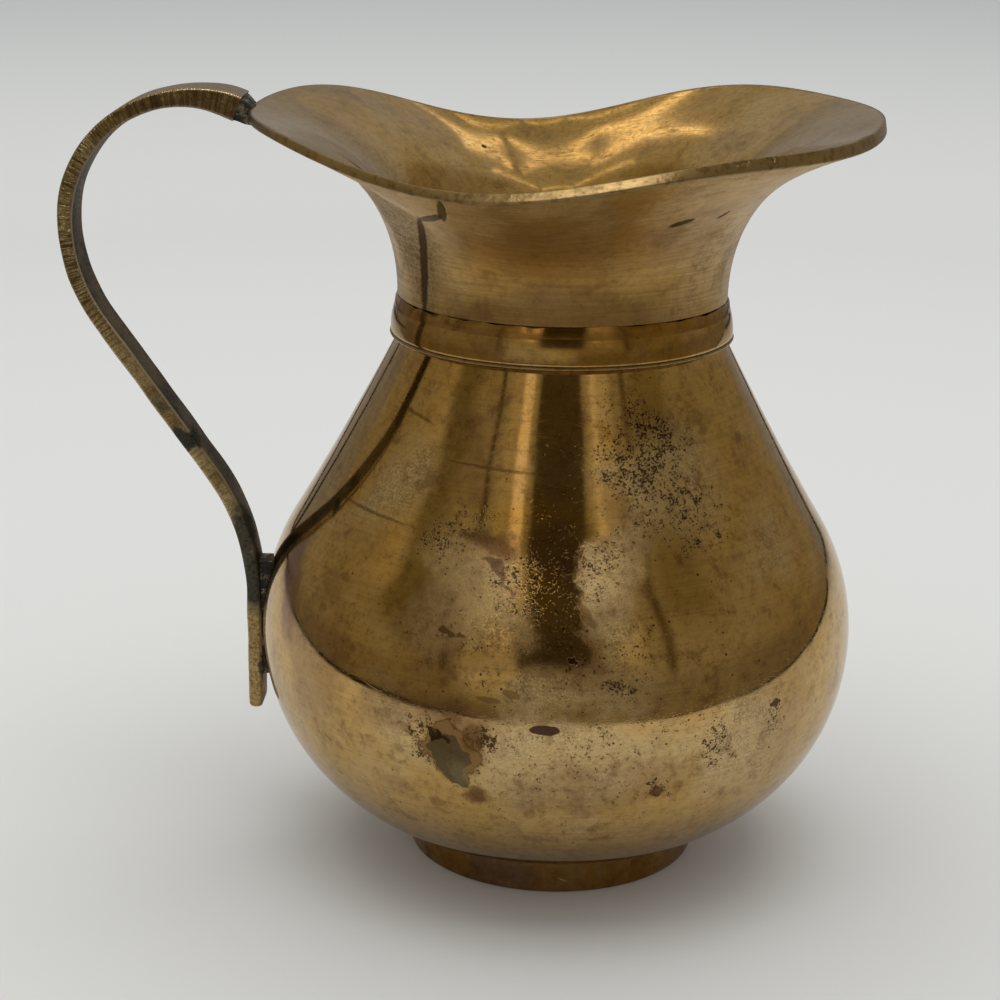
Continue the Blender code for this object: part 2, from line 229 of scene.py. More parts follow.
profile = [(0.0, 0.0), (SWEEP_RADIUS, 0.0)]
for turn in quarter(12)[1:]:
    profile.append((
        SWEEP_RADIUS + SWEEP_BEND * math.sin(turn),
        SWEEP_BEND * (1 - math.cos(turn)),
    ))
profile.append((SWEEP_RADIUS + SWEEP_BEND, SWEEP_HEIGHT))
bm = bmesh.new()
spin_round(bm, profile, 96)
face_outwards(bm)
bmesh.ops.reverse_faces(bm, faces=bm.faces)
sweep = place_mesh("floor_sweep", bm, card)
sweep.visible_glossy = False
sweep.visible_diffuse = False
sweep.visible_transmission = False
sweep.visible_shadow = False

# Sheet in the metal
# The same card as the brass mirrors it: a sheet with a rounded front and spreading
# sides, bent up behind the jug, its colour painted dimmer away from the lamp as light
# falls off. Its cut edge and one crease are painted dark as shade.

# how far the sheet's edge lies from the jug's axis, by the angle from its front, and how
# high it curls up there on its left and on its right
SHEET_REACH = (
    (0, 150, 0.0, 0.0), (20, 146, 1.0, 0.0), (34, 147, 4.0, 0.5), (46, 152, 6.0, 1.5),
    (58, 167, 7.0, 2.5), (72, 182, 7.0, 3.5), (85, 210, 6.0, 4.0), (101, 275, 5.0, 5.0),
    (114, 350, 7.0, 7.0), (124, 440, 10.0, 10.0), (133, 600, 16.0, 16.0),
)
SHEET_BACK_Y = 560.0
SHEET_LEAN = 30.0
SHEET_TOP = 330.0
SHEET_LEFT = -800.0
SHEET_CREASE = -400.0
SHEET_CREASE_WIDTH = 10.0
SHEET_RIGHT = 495.0
SHEET_EDGE = 16.0
# the middle of its lit part, and the metres from there between which it turns dimmer
SHEET_LIT_AT = (AXIS_X, 0.05, 0.0)
SHEET_DIM_RANGE = (0.12, 0.75)

mirrored, tree, shader = new_material("matt white card, dimmer away from the lamp")
place = add(tree, "TexCoord", {}).outputs["Object"]
away = add(tree, "VectorMath", {0: place, 1: SHEET_LIT_AT}, operation="DISTANCE")
# painted light falloff: the card's colour turns dimmer away from the lamp
painted_dimming = ramp(away.outputs["Value"], *SHEET_DIM_RANGE)
colour = blend(painted_dimming, "CFCCC6", "968F86")
fill(shader, {"Base Color": colour, "Roughness": 0.9, "Specular IOR Level": 0.0})

# painted shade: the cut edge and the crease are coloured dark as the shade along them
edge_shade_material, tree, shader = new_material("shaded cut edge of the card")
colour = linear("1E160C")
fill(shader, {"Base Color": colour, "Roughness": 0.9, "Specular IOR Level": 0.0})

bm = bmesh.new()
front = [(-turn, reach, curl) for turn, reach, curl, _ in SHEET_REACH[:0:-1]]
front += [(turn, reach, curl) for turn, reach, _, curl in SHEET_REACH]
floor_verts = []
curl_verts = []
for turn, reach, curl in front:
    x = reach * math.sin(math.radians(turn))
    y = -reach * math.cos(math.radians(turn))
    floor_verts.append(bm.verts.new((x, y, 0.0)))
    curl_verts.append(bm.verts.new((x, y, curl)))
back_verts = [
    bm.verts.new((x, SHEET_BACK_Y, 0.0))
    for x in (
        SHEET_RIGHT, SHEET_CREASE + SHEET_CREASE_WIDTH / 2,
        SHEET_CREASE - SHEET_CREASE_WIDTH / 2, SHEET_LEFT,
    )
]
floor_face = bm.faces.new(floor_verts + back_verts)
top_verts = [
    bm.verts.new((vert.co.x, SHEET_BACK_Y + SHEET_LEAN, SHEET_TOP)) for vert in back_verts
]
wall_faces = [
    bm.faces.new((back_verts[i], back_verts[i + 1], top_verts[i + 1], top_verts[i]))
    for i in range(3)
]
face_outwards(bm)
dark_faces = [wall_faces[1]]
for region in ([floor_face], [wall_faces[0]], [wall_faces[2]]):
    dark_faces += bmesh.ops.inset_region(bm, faces=region, thickness=SHEET_EDGE)["faces"]
for i in range(len(floor_verts) - 1):
    dark_faces.append(bm.faces.new((
        floor_verts[i], floor_verts[i + 1], curl_verts[i + 1], curl_verts[i],
    )))
# the strip along the bend between floor and wall is no edge and stays pale
for face in dark_faces:
    nearest = min(vert.co.y for vert in face.verts)
    at_bend = face.normal.z > 0.9 and nearest > SHEET_BACK_Y - 1.25 * SHEET_EDGE
    face.material_index = 0 if at_bend else 1
sheet = place_mesh("mirrored_sheet", bm, mirrored)
sheet.data.materials.append(edge_shade_material)
sheet.data.shade_flat()
sheet.visible_camera = False
sheet.visible_shadow = False
sheet.visible_diffuse = False

# Room
# What the brass mirrors beyond the card: an olive-brown room with a dark upright in
# front, pale gaps beside it, and lit panels high behind. The camera sees pale card.

ROOM_FLOOR = "7C705A"
ROOM_WALL = "8C8068"
ROOM_CEILING = "A3977F"
# between which elevations in degrees floor turns to wall, and wall to ceiling
FLOOR_LINE = (-2, 4)
CEILING_LINE = (48, 62)
BACKDROP = "C8CAC9"
SOFT_FILL = 0.55
# azimuth (0 in front of the jug, 90 on its right), half width, elevation, half
# height, softness in degrees, colour, strength
ROOM_PATCHES = (
    (-68, 9, 30, 14, 5, "6E6244", 1),
    (62, 12, 33, 12, 5, "75694B", 1),
    (-13, 23, 1, 8, 3, "AEA48C", 1),
    (-26, 9, 46, 36, 3, "A2926C", 1),
    (27, 8, 46, 36, 3, "AC9E80", 1),
    (-22.5, 3.5, 42, 26, 1, "EAD2AC", 1),
    (24, 1.9, 42, 26, 0.8, "C8B898", 1),
    (0.5, 15, 46, 37, 1.6, "463C28", 1),
    (-90, 13, 42, 12, 5, "B4A47E", 1),
    (-42, 1.5, 36, 34, 1.4, "4A3E24", 1),
    (45, 2, 30, 28, 2, "54462A", 1),
    (187, 48, 50, 32, 6, "ABA597", 1),
    (160.5, 1.5, 41, 9, 0.4, "FFEED0", 1.7),
    (187.5, 25, 54, 1.7, 0.4, "FFEED0", 1.7),
    (212, 1.8, 47, 7, 0.4, "FFEED0", 2.1),
    (190, 38, 77, 1, 0.4, "FFEED0", 1.3),
    (151, 2.2, 60, 14, 0.4, "FFEED0", 1.3),
    (226, 2.2, 63, 12, 0.4, "FFEED0", 1.3),
)

world = bpy.data.worlds.new("room")
bpy.context.scene.world = world
world.use_nodes = True
world.cycles.sampling_method = "NONE"
tree = world.node_tree
facing = add(tree, "TexCoord", {}).outputs["Generated"]
upward = add(tree, "SeparateXYZ", {0: facing}).outputs["Z"]
elevation = work_out("ARCSINE", upward)
rising = ramp(elevation, *map(math.radians, FLOOR_LINE))
overhead = ramp(elevation, *map(math.radians, CEILING_LINE))
seen = blend(overhead, blend(rising, ROOM_FLOOR, ROOM_WALL), ROOM_CEILING)
for *angles, code, strength in ROOM_PATCHES:
    azimuth, half, height, half_height, soft = (math.radians(a) for a in angles)
    turned = add(tree, "Mapping", {0: facing, "Rotation": (0.0, 0.0, -azimuth)})
    split = add(tree, "SeparateXYZ", {0: turned.outputs[0]}).outputs
    backwards = product(split["Y"], -1.0)
    sideways = work_out("ABSOLUTE", work_out("ARCTAN2", split["X"], backwards))
    level = work_out("ABSOLUTE", work_out("SUBTRACT", elevation, height))
    across = ramp(sideways, half - soft, half + soft, 1.0, 0.0)
    upright = ramp(level, half_height - soft * 2, half_height + soft * 2, 1.0, 0.0)
    inside = product(across, upright)
    seen = blend(inside, seen, [c * strength for c in linear(code)])
rays = add(tree, "LightPath", {}).outputs
by_metal = work_out("MAXIMUM", rays["Is Glossy Ray"], rays["Is Transmission Ray"])
lit = blend(rays["Is Camera Ray"], (SOFT_FILL,) * 3, BACKDROP)
fill(tree.nodes["Background"], {"Color": blend(by_metal, lit, seen)})

# Lamps
# One large soft light a metre above and a little behind the jug lights the card. A
# smaller one high in front is met only by the metal, and wakes its scuffs and scratches.

LAMP_SIZE = 1.1
LAMP_AT = (AXIS_X - 0.02, 0.04, 1.0)
LAMP_POWER = 6.9
SCUFF_LAMP_SIZE = 0.5
SCUFF_LAMP_AT = (AXIS_X, -0.40, 1.0)
SCUFF_LAMP_POWER = 3.5


def square_lamp(name, size, power, colour, at):
    """A square light that faces down."""
    data = bpy.data.lights.new(name, "AREA")
    data.shape = "SQUARE"
    data.size = size
    data.energy = power
    data.color = colour
    lamp = bpy.data.objects.new(name, data)
    lamp.location = at
    bpy.context.scene.collection.objects.link(lamp)
    return lamp


lamp = square_lamp("overhead_lamp", LAMP_SIZE, LAMP_POWER, (1.0, 0.995, 0.98), LAMP_AT)
lamp.visible_glossy = False
lamp = square_lamp(
    "scuff_lamp", SCUFF_LAMP_SIZE, SCUFF_LAMP_POWER, (1.0, 0.94, 0.84), SCUFF_LAMP_AT,
)
lamp.rotation_euler = (math.atan2(-SCUFF_LAMP_AT[1], SCUFF_LAMP_AT[2]), 0.0, 0.0)
lamp.visible_diffuse = False

# Belly
# A pear-shaped bowl cast in yellow brass, turned and polished, then dulled by years
# of rubbing: turning lines, hair scratches, brown clouds, pits and one grey stain.

WALL = 2.0
BELLY_RADIUS = 44.0
BELLY_WIDEST_Z = 34.8
LOWER_ARC = 31.0
UPPER_ARC = 32.4
SHOULDER_ARC = 400.0
NECK_RADIUS = 23.9
SEAT_RADIUS = NECK_RADIUS - 0.7
BORE_RADIUS = NECK_RADIUS - WALL
BELLY_TOP_Z = 79.0
SPIGOT_TOP_Z = 81.0
AROUND = 300


def direction(angle):
    """A length of one, at an angle from the horizontal."""
    return Vector((math.cos(angle), math.sin(angle)))


def arc(centre, radius, start, end, steps):
    """Points of an arc from one angle to another, both ends included."""
    angles = (start + (end - start) * i / steps for i in range(steps + 1))
    return [centre + radius * direction(a) for a in angles]


def shoulder_centre():
    """Centre of the hollow arc that leaves the bowl smoothly and ends at the neck."""
    upper = Vector((BELLY_RADIUS - UPPER_ARC, BELLY_WIDEST_Z))
    neck = Vector((NECK_RADIUS, BELLY_TOP_Z)) - upper
    reach = UPPER_ARC + SHOULDER_ARC
    along = (reach ** 2 - SHOULDER_ARC ** 2 + neck.length_squared) / (2 * neck.length)
    across = math.sqrt(reach ** 2 - along ** 2)
    heading = neck.normalized()
    return upper + along * heading + across * Vector((heading[1], -heading[0]))


def belly_side(offset, end_angle_of, steps):
    """Bowl and shoulder, from the edge of the flat base upwards."""
    lower_centre = Vector((BELLY_RADIUS - LOWER_ARC, BELLY_WIDEST_Z))
    upper_centre = Vector((BELLY_RADIUS - UPPER_ARC, BELLY_WIDEST_Z))
    hollow = shoulder_centre()
    lean = hollow - upper_centre
    turn = math.atan2(lean[1], lean[0])
    radius = SHOULDER_ARC + offset
    end = end_angle_of(hollow, radius)
    lower = arc(lower_centre, LOWER_ARC - offset, -math.pi / 2, 0.0, steps)
    upper = arc(upper_centre, UPPER_ARC - offset, 0.0, turn, steps // 2)
    shoulder = arc(hollow, -radius, turn, end, steps)
    return lower + upper[1:] + shoulder[1:]


def uneven(bm, depth, size, seed):
    """Pushes a surface in and out by up to depth, in soft swells of the given size."""
    bm.normal_update()
    for vert in bm.verts:
        swell = noise.noise((vert.co + Vector((seed, seed, seed))) / size)
        vert.co += depth * swell * vert.normal


def finish_piece(name, bm, material, stands_for):
    """Faces a millimetre mesh outwards, sets it in the frame and fixes it to the body."""
    bmesh.ops.remove_doubles(bm, verts=bm.verts, dist=MERGE_DISTANCE)
    face_outwards(bm)
    piece = place_mesh(name, bm, material)
    piece.data.set_sharp_from_angle(angle=math.radians(50))
    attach(piece, "root")
    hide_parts(*stands_for)


def grain(at, size, detail=4.0, seed=0.0, roughness=0.6):
    """Noise whose swells are about size millimetres apart."""
    return add(at.id_data, "TexNoise", {
        "Vector": at, "Scale": 1 / size, "Detail": detail, "Roughness": roughness, "W": seed,
    }, noise_dimensions="4D").outputs


def shifted(at, grained, amount):
    """Moves a place about by a noise's colour, so that shapes drawn there turn ragged."""
    offset = add(at.id_data, "VectorMath", {
        0: grained["Color"], 1: (amount,) * 3, 2: (-amount / 2,) * 3,
    }, operation="MULTIPLY_ADD")
    return add(at.id_data, "Mapping", {0: at, "Location": offset.outputs[0]}).outputs[0]


def oval(at, centre, size, soft, turn=(0, 0, 0)):
    """1 inside an oval of half sizes in millimetres, falling to 0 at its edge."""
    own = add(at.id_data, "Mapping", {
        0: at, "Location": centre, "Rotation": turn, "Scale": size,
    }, vector_type="TEXTURE")
    inside = add(at.id_data, "TexGradient", {0: own.outputs[0]}, gradient_type="SPHERICAL")
    return ramp(inside.outputs["Fac"], 0.0, soft)


def with_fields(value, at, fields, soft):
    """A value with fields of its own added in places, up to 1."""
    for centre, size, amount, *turn in fields:
        value = raised(value, oval(at, centre, size, soft, *turn), amount)
    return work_out("MINIMUM", value, 1.0)


def in_millimetres(tree):
    """Place on the jug in millimetres from the middle of the foot's sole."""
    return add(tree, "Mapping", {
        0: add(tree, "TexCoord", {}).outputs["Object"],
        "Location": (-AXIS_X * 1000, 0.0, 0.0), "Scale": (1000.0,) * 3,
    }).outputs[0]


def fill_metal(shader, colour, bare, rough, height):
    """Gives a shader its colour, share of bare metal, roughness and relief in millimetres."""
    bump = add(shader.id_data, "Bump", {"Strength": 1.0, "Distance": 0.001, "Height": height})
    fill(shader, {
        "Base Color": colour, "Metallic": bare, "Roughness": rough, "Normal": bump.outputs[0],
    })


def brass(
    name, clear, seed, roughness, turning, haze, film, fleck=0.35,
    hazes=(), films=(), specks=(), marks=(), brushed=False, filed=False,
):
    """Old polished brass, with its tarnish.

    haze and film say how much of it is scuffed pale and how much is filmed brown; hazes,
    films and specks are fields in places of their own, where a negative amount keeps a
    place clean; marks are single blemishes. brushed and filed metal is where the mesh's
    layers of these names say.
    """
    material, tree, shader = new_material(name)
    mm = in_millimetres(tree)
    split = add(tree, "SeparateXYZ", {0: mm})
    flat = add(tree, "CombineXYZ", {0: split.outputs["X"], 1: split.outputs["Y"]})
    radius = add(tree, "VectorMath", {0: flat.outputs[0]}, operation="LENGTH")
    heading = add(tree, "VectorMath", {0: flat.outputs[0]}, operation="NORMALIZE")
    heading = add(tree, "VectorMath", {0: heading.outputs[0], "Scale": 1.5}, operation="SCALE")
    turned = add(tree, "CombineXYZ", {0: radius.outputs["Value"], 2: split.outputs["Z"]})
    swell = grain(mm, 11.0, 5.0, seed, 0.6)
    ragged = grain(mm, 1.1, 4.0, seed + 1, 0.6)
    fine = grain(mm, 0.36, 5.0, seed + 2, 0.72)["Fac"]
    torn = shifted(mm, grain(mm, 4.5, 2.0, seed + 7), 7.0)
    places = {
        "broad": shifted(mm, swell, 14.0),
        "ragged": shifted(mm, ragged, 2.4),
        "torn": shifted(torn, ragged, 2.0),
        "smooth": shifted(mm, ragged, 0.5),
    }

    # pale scuffed zones and brown film, in swells the size of a thumb, and where placed
    scuffed = ramp(swell["Fac"], 0.40, 0.62, 0.0, haze)
    scuffed = with_fields(scuffed, places["broad"], hazes, 0.75)
    filmed = grain(mm, 7.0, 6.0, seed + 4, 0.68)["Fac"]
    filmed = ramp(filmed, 0.5, 0.7, 0.0, film)
    filmed = with_fields(filmed, places["broad"], films, 0.6)
    grit = ramp(fine, 0.38, 0.64)
    scratched = ramp(scuffed, 0.15, 0.9)
    gritty = product(grit, scratched)
    colour = blend(scuffed, clear, "E6D0A4")
    colour = blend(gritty, colour, "86683C", 0.42)
    colour = blend(filmed, colour, "8E7054")
    rough = raised(roughness, filmed, 0.03)
    rough = raised(rough, scratched, 0.16)
    rough = raised(rough, gritty, 0.24)
    height = product(gritty, -0.005)

    # a fine brown mottling all over, from years of rubbing with polish left in its pits
    mottled = ramp(ragged["Fac"], 0.42, 0.66, 0.06, 0.3)
    mottled = product(work_out("ADD", grit, 0.5), mottled)
    colour = blend(mottled, colour, "6E5030")
    rough = raised(rough, mottled, 0.03)

    # brown flecks left by drops and fingers, a few millimetres across
    flecks = grain(mm, 3.2, 7.0, seed + 6, 0.7)["Fac"]
    worn = ramp(flecks, 0.30, 0.52, 0.16, 0.0)
    colour = blend(worn, colour, "E6CFA0")
    flecks = ramp(flecks, 0.53, 0.64, 0.0, fleck)
    colour = blend(flecks, colour, "6E5030")
    rough = raised(rough, flecks, 0.10)

    # turning lines about 0.4 mm apart round the axis, coarser than real ones so they show
    lines_at = add(tree, "VectorMath", {
        0: turned.outputs[0], 1: (2.5, 2.5, 2.5), 2: heading.outputs[0],
    }, operation="MULTIPLY_ADD").outputs[0]
    lines = grain(lines_at, 1.0, 3.0, seed, 0.65)["Fac"]
    height = raised(height, lines, turning)
    grooved = ramp(lines, 0.46, 0.66)
    colour = blend(grooved, colour, "8A6A3C", 0.2)
    rough = raised(rough, grooved, 0.04)

    # hair scratches: families of long thin grooves that bend with the rubbing hand
    bent = shifted(mm, grain(mm, 16.0, 1.0, seed), 12.0)
    for i in range(3):
        stretched = add(tree, "Mapping", {
            0: bent, "Rotation": (0.4 * i, 0.6 + 1.1 * i, 0.2 + 0.9 * i),
            "Scale": (0.12, 3.6, 3.6),
        }).outputs[0]
        grooves = grain(stretched, 1.0, 1.0, seed + i)["Fac"]
        grooves = ramp(grooves, 0.62, 0.74)
        height = raised(height, grooves, -0.0016)
        rough = raised(rough, grooves, 0.05)

    # specks of corrosion, thick in some fields and thin elsewhere
    crowd = None
    for centre, size, amount, *turn in specks:
        field = oval(places["broad"], centre, size, 0.7, *turn)
        field = product(field, amount)
        crowd = field if crowd is None else work_out("MAXIMUM", crowd, field)
    if crowd is not None:
        small = grain(mm, 0.3, 3.0, seed + 5, 0.66)["Fac"]
        small = raised(small, crowd, 0.24)
        small = raised(small, ragged["Fac"], 0.5)
        small = ramp(small, 0.96, 1.03)
        cells = add(tree, "TexVoronoi", {
            "Vector": places["smooth"], "Scale": 1.0, "Randomness": 1.0,
        }).outputs
        chance = add(tree, "SeparateColor", {0: cells["Color"]}).outputs
        limit = product(crowd, 0.8)
        kept = work_out("LESS_THAN", chance[0], limit)
        wide = work_out("MULTIPLY_ADD", chance[1], 0.18, 0.05)
        wide = product(wide, kept)
        big = add(tree, "MapRange", {0: cells["Distance"], 1: wide, 2: 0.0, 3: 0.0, 4: 2.5})
        big = work_out("MINIMUM", big.outputs[0], 1.0)
        pitted = work_out("MAXIMUM", small, big)
        colour = blend(pitted, colour, "2C1B0B", 0.88)
        height = raised(height, pitted, -0.007)
        rough = raised(rough, pitted, 0.06)

    # single marks: stains, spots and nicks, each an oval with an edge of its own
    for edge, centre, size, soft, code, amount, depth, dullness, *turn in marks:
        mark = oval(places[edge], centre, size, soft, *turn)
        colour = blend(mark, colour, code, amount)
        height = raised(height, mark, -depth)
        rough = raised(rough, mark, dullness)

    # a brushed outside: the turning lines lie thick there and smear what it mirrors upright
    if brushed:
        there = add(tree, "Attribute", {}, attribute_name="brushed").outputs["Fac"]
        rough = raised(rough, there, 0.26)
        colour = blend(there, colour, "BC9654", 0.2)
        streaks = product(there, ramp(lines, 0.35, 0.65))
        colour = blend(streaks, colour, "86642E", 0.22)
        height = raised(height, streaks, 0.006)
        fill(shader, {"Anisotropic": 0.85, "Anisotropic Rotation": 0.25})

    # filed faces and rubbed edges, never polished: pale gold with brown in their hollows
    if filed:
        there = add(tree, "Attribute", {}, attribute_name="filed").outputs["Fac"]
        blotch = ramp(ragged["Fac"], 0.50, 0.62, 0.0, 0.6)
        face_tone = blend(blotch, "A08C66", "6E5634")
        colour = blend(there, colour, face_tone, 0.9)
        rough = raised(rough, there, 0.25)
        hollows = product(there, ragged["Fac"])
        height = raised(height, hollows, 0.05)

    fill_metal(shader, colour, 1.0, rough, height)
    return material


# each field: middle, half sizes in millimetres, amount, and its turn if it has one
BELLY_HAZES = (
    ((-24, -27, 65), (8, 14, 12), 1, (0, 0.3, -0.7)),
    ((-12, -36.5, 51), (9.5, 12, 11), 1, (0, 0.2, 0)),
    ((15, -28, 66), (12, 12, 14), 0.9, (0, 0.3, 0.5)),
    ((7.5, -37, 53), (6, 12, 15), 1, (0, 0.1, 0)),
    ((2, -41, 40), (18, 12, 6), 0.8),
    ((-4, -39, 48), (5, 12, 4), 0.55, (0, 0.4, 0)),
    ((31, -24, 56), (8, 12, 9), 0.7, (0, 0, 0.8)),
    ((-4, -40, 31), (30, 16, 8), 0.5),
    ((26, -33, 30), (12, 16, 9), 0.5),
)
BELLY_FILMS = (
    ((-12, -29, 70), (4, 8, 9), 0.5),
    ((-10, -35, 57), (6, 8, 2.4), 0.9, (0, 0.5, 0)),
    ((-38, -18, 45), (5, 10, 11), 0.9, (0, -0.4, -1)),
    ((0, -36, 57), (9, 10, 5), 0.7),
    ((1, -40, 45), (9, 10, 7), 0.5),
    ((-17, -38, 46), (6, 10, 8), 0.4),
    ((-13, -41, 36), (7, 10, 5), 0.6),
    ((14, -27, 74), (8, 10, 6), 0.4),
    ((6, -41, 26), (20, 14, 4), 0.35),
    ((32, -30, 36), (10, 14, 13), 0.35, (0, 0, 0.8)),
    ((-33, -27, 38), (9, 14, 12), 0.5, (0, 0, -0.9)),
    ((-22, -37, 35), (8, 14, 5), 0.5),
)
BELLY_SPECKS = (
    ((12, -27, 69), (12, 12, 15), 0.95, (0, 0.2, 0.4)),
    ((15, -28, 61), (14, 10, 11), 0.8, (0, 0.3, 0.4)),
    ((-14, -33, 59), (6, 9, 11), 0.85, (0, 0.6, -0.4)),
    ((-6, -38, 52), (8, 9, 7), 0.75),
    ((6, -36, 55), (6, 9, 11), 0.75),
    ((-16.5, -40.5, 30), (4, 8, 8), 1, (0, -0.4, 0.3)),
    ((-10.5, -42, 33), (5, 8, 5), 1, (0, 0.5, 0)),
    ((9, -42, 41), (6, 8, 2.5), 0.95),
    ((22, -37, 30), (5, 8, 6), 0.85, (0, -0.5, 0.5)),
    ((30.6, -31.4, 33), (3, 8, 4), 0.8, (0, 0, 0.8)),
    ((14, -40, 25), (3, 8, 3), 0.8),
    ((0, -38, 40), (40, 24, 34), 0.45),
)
# each mark: edge, middle, half sizes, softness, colour, amount, depth, dullness, its turn
BELLY_MARKS = (
    ("torn", (-13.6, -41, 30.4), (4.6, 7, 6.6), 0.35, "8A6A40", 0.75, 0.01, 0.1, (0, -0.3, 0.3)),
    ("torn", (-13.6, -41, 29.8), (3.3, 7, 5.6), 0.06, "5A3E20", 0.8, 0.01, 0.05, (0, -0.36, 0.3)),
    ("torn", (-13.6, -41, 29.7), (3.1, 7, 5.4), 0.06, "96764A", 0.8, 0, 0, (0, -0.36, 0.3)),
    ("torn", (-13.7, -41, 28.7), (2.3, 7, 4.7), 0.1, "66583E", 0.9, 0.02, 0.2, (0, -0.36, 0.3)),
    ("ragged", (-12.6, -41.2, 27.4), (1.3, 7, 3.2), 0.6, "857A58", 0.6, 0, 0, (0, -0.36, 0.3)),
    ("torn", (-15.6, -40.9, 32.6), (2.2, 5, 0.9), 0.25, "3A2412", 0.9, 0.05, 0.1, (0, 0.6, 0.3)),
    ("ragged", (-10.6, -41.6, 33), (2, 5, 3), 0.5, "6A4826", 0.6, 0.02, 0.1, (0, 0.2, 0.3)),
    ("ragged", (-10.2, -40.4, 23.8), (2.1, 6, 2), 0.5, "6B4A2C", 0.8, 0.02, 0.1, (0, -0.2, 0.2)),
    ("smooth", (-1.1, -43.9, 34.9), (2.2, 3, 0.74), 0.12, "5A4034", 0.97, 0.02, 0.15, (0, 0.03, 0)),
    ("smooth", (-8.6, -43, 38.6), (1.9, 3, 0.5), 0.3, "8A6C40", 0.7, 0, 0.1, (0, 0.1, 0.2)),
    ("smooth", (-5.6, -43.2, 39.6), (1.5, 3, 0.6), 0.3, "8A6C40", 0.7, 0, 0.1, (0, 0.2, 0.1)),
    ("ragged", (2.4, -42.4, 44.2), (0.9, 3, 0.6), 0.3, "3A2412", 0.9, 0.03, 0.1, (0, 0.2, 0)),
    ("ragged", (30.5, -31.6, 34.7), (0.7, 3, 0.8), 0.3, "4A2A1C", 0.9, 0.03, 0.1),
    ("ragged", (14.3, -39.7, 24.8), (1.3, 4, 1.2), 0.5, "5A3A20", 0.8, 0.02, 0.1),
    ("torn", (-14, -39, 47.2), (2.2, 4, 0.8), 0.3, "5A4024", 0.8, 0.01, 0.1, (0, 0.5, 0.2)),
    ("torn", (-8, -36, 54), (4, 4, 1), 0.3, "6E5448", 0.8, 0.01, 0.1, (0, 0.8, 0.2)),
    ("broad", (-38.5, -17.5, 46), (4, 12, 11), 0.8, "B08C74", 0.5, 0, 0.05, (0, -0.3, -1.1)),
    ("smooth", (-26, -24, 58.6), (8.5, 14, 0.28), 0.5, "4E3A1C", 0.55, 0, 0.05, (0, 0.06, 0)),
    ("smooth", (-20, -20, 71.6), (4, 14, 0.3), 0.5, "4E3A1C", 0.5, 0, 0.05, (0, 0.28, 0)),
    ("smooth", (-8, -30, 66.6), (10, 14, 0.25), 0.5, "4E3A1C", 0.45, 0, 0.05, (0, 0.05, 0)),
    ("torn", (4, -39, 50), (3, 4, 1.2), 0.4, "6A4E30", 0.6, 0.01, 0.1, (0, 0.8, 0.2)),
)

polished_brass = brass(
    "old polished yellow brass, hand rubbed", clear="CEAA66", seed=2.0, roughness=0.05,
    turning=0.0016, haze=0.28, film=0.45, fleck=0.45, hazes=BELLY_HAZES, films=BELLY_FILMS,
    specks=BELLY_SPECKS, marks=BELLY_MARKS,
)

outer = belly_side(0.0, lambda c, r: math.asin((c[1] - BELLY_TOP_Z) / r), 44)
inner = belly_side(WALL, lambda c, r: math.acos((c[0] - BORE_RADIUS) / r), 20)
spigot = [(SEAT_RADIUS, BELLY_TOP_Z), (SEAT_RADIUS, SPIGOT_TOP_Z), (BORE_RADIUS, SPIGOT_TOP_Z)]
bm = bmesh.new()
outline = [(0.0, outer[0][1])] + outer + spigot + inner[::-1] + [(0.0, inner[0][1])]
spin_round(bm, outline, AROUND)
face_outwards(bm)
uneven(bm, depth=0.06, size=17.0, seed=3.0)
uneven(bm, depth=0.02, size=6.0, seed=11.0)
finish_piece("belly_body", bm, polished_brass, ["belly"])

# Foot ring
# A low turned ring brazed under the bowl, browner than it, and darker still on its left
# front.

FOOT_RADIUS = 21.7
FOOT_FLARE = 0.25
FOOT_WIDTH = 2.4
FOOT_INNER_EDGE = 0.4
FOOT_EDGE = 0.45

foot_brass = brass(
    "browned brass of the foot", clear="A07836", seed=7.0, roughness=0.13, turning=0.006,
    haze=0.2, film=0.8, fleck=0.7,
    films=(
        # a darker field on the left front
        ((-8, -20, 3), (8, 10, 6), 1),
    ),
    marks=(
        ("smooth", (1.9, -21.7, 2.1), (0.9, 2, 0.12), 0.4, "D8B878", 0.9, 0.02, 0.1, (0, 0.5, 0)),
    ),
)
top_radius = FOOT_RADIUS + FOOT_FLARE
inner_radius = FOOT_RADIUS - FOOT_WIDTH
# it meets the bowl a hair below its surface
seat = []
for i in range(9):
    r = top_radius + (inner_radius - top_radius) * i / 8
    drop = math.sqrt(LOWER_ARC ** 2 - (r - (BELLY_RADIUS - LOWER_ARC)) ** 2)
    seat.append((r, BELLY_WIDEST_Z - drop - 0.02))
sole = [(inner_radius, FOOT_INNER_EDGE), (inner_radius + FOOT_INNER_EDGE, 0.0)]
for turn in quarter(4):
    sole.append((
        FOOT_RADIUS - FOOT_EDGE + FOOT_EDGE * math.sin(turn),
        FOOT_EDGE - FOOT_EDGE * math.cos(turn),
    ))
# its outside leans out a little towards the bowl
wall = [(FOOT_RADIUS + 0.02, 1.6), (FOOT_RADIUS + 0.08, 3.0)]
bm = bmesh.new()
spin_round(bm, seat + sole + wall, 240, closed=True)
finish_piece("foot", bm, foot_brass, ["foot_ring"])

# Collar
# A turned brass ring slipped over the joint of belly and throat, crowned, with a fine
# bead below. The brazing metal above it is filed to a ragged slope.

BAND_Z = 79.3
BAND_HEIGHT = 4.1
BAND_RADIUS = NECK_RADIUS + 1.0
BAND_TAPER = 0.5
BAND_BEAD = 0.5
BEAD_PROUD = 0.1
BAND_TOP_Z = BAND_Z + BAND_HEIGHT
COLLAR_BORE = SEAT_RADIUS + 0.1

